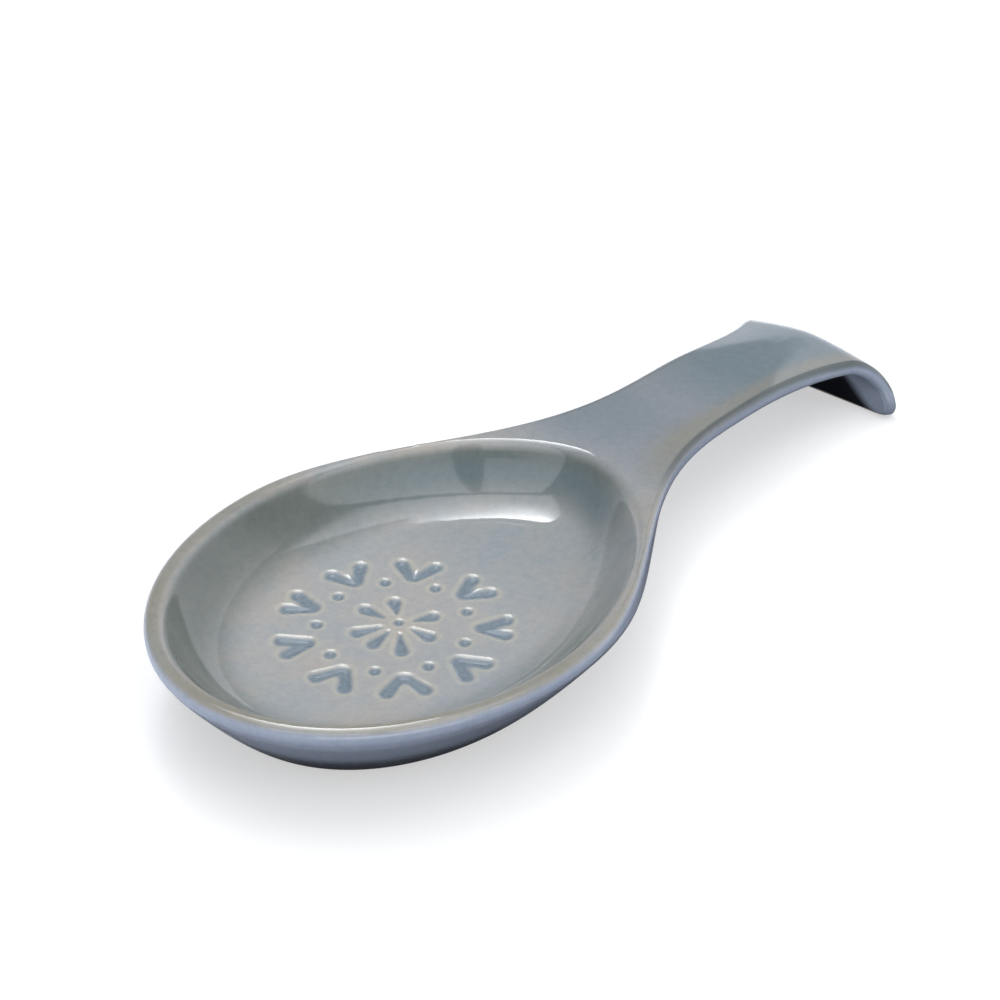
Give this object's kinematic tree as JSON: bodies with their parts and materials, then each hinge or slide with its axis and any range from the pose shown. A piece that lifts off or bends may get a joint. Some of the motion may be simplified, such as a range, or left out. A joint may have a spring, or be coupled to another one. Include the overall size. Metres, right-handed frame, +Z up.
{
  "type": "spoon rest",
  "caption": "Glazed stoneware spoon rest: an egg-shaped bowl with a stamped flower on its floor, and a flat handle that flares and turns down to the table.",
  "frame": {"origin": "middle of the length and width, at the height of the table that it stands on", "axes": "+X along the handle away from the bowl, +Y to the left when looking along the handle, +Z up"},
  "size_m": [0.2484, 0.1112, 0.0256],
  "materials": {
    "clay": "bare fired stoneware, matt",
    "glaze": "grey-blue gloss glaze",
    "pooled_glaze": "thick blue gloss glaze"
  },
  "bodies": {
    "root": {"stoneware_body": "clay", "glaze_coat": "glaze", "base_glaze": "glaze", "petal_glaze": "pooled_glaze", "dot_glaze": "pooled_glaze", "heart_glaze": "pooled_glaze"}
  },
  "joints": []
}
